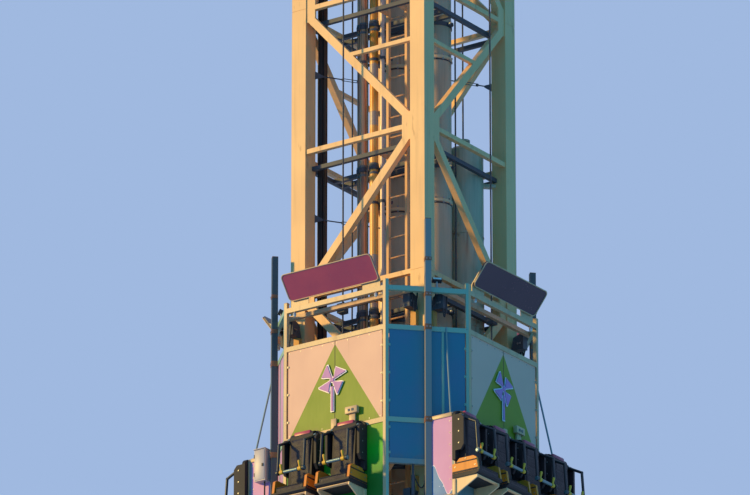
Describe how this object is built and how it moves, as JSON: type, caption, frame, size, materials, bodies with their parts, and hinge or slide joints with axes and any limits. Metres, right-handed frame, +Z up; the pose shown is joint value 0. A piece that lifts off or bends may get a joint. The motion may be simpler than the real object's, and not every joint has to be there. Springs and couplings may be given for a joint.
{
  "type": "drop tower ride with a seat carriage around a lattice tower",
  "caption": "Square lattice tower with a ring-shaped carriage of outward-facing seats that slides up and down it on hoist cables.",
  "frame": {"origin": "centre of the ground frame's underside, at ground level on the tower's axis", "axes": "+Z up along the tower, -Y front with the two-seat bank and the ladder, +X right with the four-seat bank"},
  "size_m": [4.4, 4.28, 27.2778],
  "materials": {
    "cream_paint": "satin, weathered",
    "pale_paint": "satin, weathered",
    "teal_paint": "satin, weathered",
    "dark_steel": "matt",
    "tube_paint": "satin with rust stains",
    "pipe_paint": "gloss",
    "wire_rope": "greased wire rope",
    "peach_paint": "gloss",
    "blue_paint": "gloss",
    "green_paint": "gloss",
    "pink_paint": "gloss",
    "maroon_paint": "gloss",
    "grey_paint": "satin",
    "yellow_pad": "worn",
    "black_shell": "smooth moulded",
    "orange_shell": "smooth moulded",
    "dark_vinyl": "upholstery vinyl"
  },
  "bodies": {
    "tower": {"ground_frame": "dark_steel", "base_plates": "dark_steel", "column_front_left": "cream_paint", "column_front_right": "cream_paint", "column_back_right": "cream_paint", "column_back_left": "cream_paint", "lattice_front": "cream_paint", "lattice_right": "cream_paint", "lattice_back": "cream_paint", "lattice_left": "cream_paint", "inner_ties": "cream_paint", "tube_supports": "tube_paint", "thrust_tubes": "tube_paint", "air_receiver": "tube_paint", "service_pipes": "pipe_paint", "cable_tray": "dark_steel", "ladder": "cream_paint", "hoist_cables": "wire_rope", "cable_sheaves": "dark_steel", "sheave_brackets": "dark_steel", "head_frame": "cream_paint"},
    "carriage": {"corner_posts": "pale_paint", "guard_ring": "pale_paint", "panel_ring": "pale_paint", "seat_ring": "pale_paint", "middle_ring": "teal_paint", "bottom_ring": "pale_paint", "guide_beams": "teal_paint", "guide_housings": "dark_steel", "guide_pads": "yellow_pad", "cable_clamps": "dark_steel", "masts": "teal_paint", "side_panels": "peach_paint", "corner_panels": "blue_paint", "narrow_bank_walls": "green_paint", "wide_bank_walls": "teal_paint", "end_walls": "pink_paint", "stay_rods": "teal_paint", "seat_brackets": "cream_paint", "seat_backs": "black_shell", "seat_pans": "black_shell", "seat_sides": "orange_shell", "seat_cushions": "dark_vinyl", "sign_boards": "maroon_paint", "sign_brackets": "pale_paint", "control_boxes": "grey_paint"},
    "lap_bar_front_1": {"lap_bar_front_1": "tube_paint"},
    "lap_bar_front_2": {"lap_bar_front_2": "tube_paint"},
    "lap_bar_right_1": {"lap_bar_right_1": "tube_paint"},
    "lap_bar_right_2": {"lap_bar_right_2": "tube_paint"},
    "lap_bar_right_3": {"lap_bar_right_3": "tube_paint"},
    "lap_bar_right_4": {"lap_bar_right_4": "tube_paint"},
    "lap_bar_back_1": {"lap_bar_back_1": "tube_paint"},
    "lap_bar_back_2": {"lap_bar_back_2": "tube_paint"},
    "lap_bar_left_1": {"lap_bar_left_1": "tube_paint"},
    "lap_bar_left_2": {"lap_bar_left_2": "tube_paint"},
    "lap_bar_left_3": {"lap_bar_left_3": "tube_paint"},
    "lap_bar_left_4": {"lap_bar_left_4": "tube_paint"}
  },
  "joints": [
    {"name": "carriage_slide", "type": "slide", "parent": "tower", "child": "carriage", "axis": [0, 0, 1], "range_m": [-11.3, 8]},
    {"name": "lap_bar_front_1_hinge", "type": "hinge", "parent": "carriage", "child": "lap_bar_front_1", "pos_m": [-0.465, -1.8, 13], "axis": [-1, 0, 0], "range_deg": [0, 110]},
    {"name": "lap_bar_front_2_hinge", "type": "hinge", "parent": "carriage", "child": "lap_bar_front_2", "pos_m": [0.265, -1.8, 13], "axis": [-1, 0, 0], "range_deg": [0, 110]},
    {"name": "lap_bar_right_1_hinge", "type": "hinge", "parent": "carriage", "child": "lap_bar_right_1", "pos_m": [1.86, -1.095, 13], "axis": [0, -1, 0], "range_deg": [0, 110]},
    {"name": "lap_bar_right_2_hinge", "type": "hinge", "parent": "carriage", "child": "lap_bar_right_2", "pos_m": [1.86, -0.365, 13], "axis": [0, -1, 0], "range_deg": [0, 110]},
    {"name": "lap_bar_right_3_hinge", "type": "hinge", "parent": "carriage", "child": "lap_bar_right_3", "pos_m": [1.86, 0.365, 13], "axis": [0, -1, 0], "range_deg": [0, 110]},
    {"name": "lap_bar_right_4_hinge", "type": "hinge", "parent": "carriage", "child": "lap_bar_right_4", "pos_m": [1.86, 1.095, 13], "axis": [0, -1, 0], "range_deg": [0, 110]},
    {"name": "lap_bar_back_1_hinge", "type": "hinge", "parent": "carriage", "child": "lap_bar_back_1", "pos_m": [0.465, 1.8, 13], "axis": [1, 0, 0], "range_deg": [0, 110]},
    {"name": "lap_bar_back_2_hinge", "type": "hinge", "parent": "carriage", "child": "lap_bar_back_2", "pos_m": [-0.265, 1.8, 13], "axis": [1, 0, 0], "range_deg": [0, 110]},
    {"name": "lap_bar_left_1_hinge", "type": "hinge", "parent": "carriage", "child": "lap_bar_left_1", "pos_m": [-1.86, 1.095, 13], "axis": [0, 1, 0], "range_deg": [0, 110]},
    {"name": "lap_bar_left_2_hinge", "type": "hinge", "parent": "carriage", "child": "lap_bar_left_2", "pos_m": [-1.86, 0.365, 13], "axis": [0, 1, 0], "range_deg": [0, 110]},
    {"name": "lap_bar_left_3_hinge", "type": "hinge", "parent": "carriage", "child": "lap_bar_left_3", "pos_m": [-1.86, -0.365, 13], "axis": [0, 1, 0], "range_deg": [0, 110]},
    {"name": "lap_bar_left_4_hinge", "type": "hinge", "parent": "carriage", "child": "lap_bar_left_4", "pos_m": [-1.86, -1.095, 13], "axis": [0, 1, 0], "range_deg": [0, 110]}
  ]
}
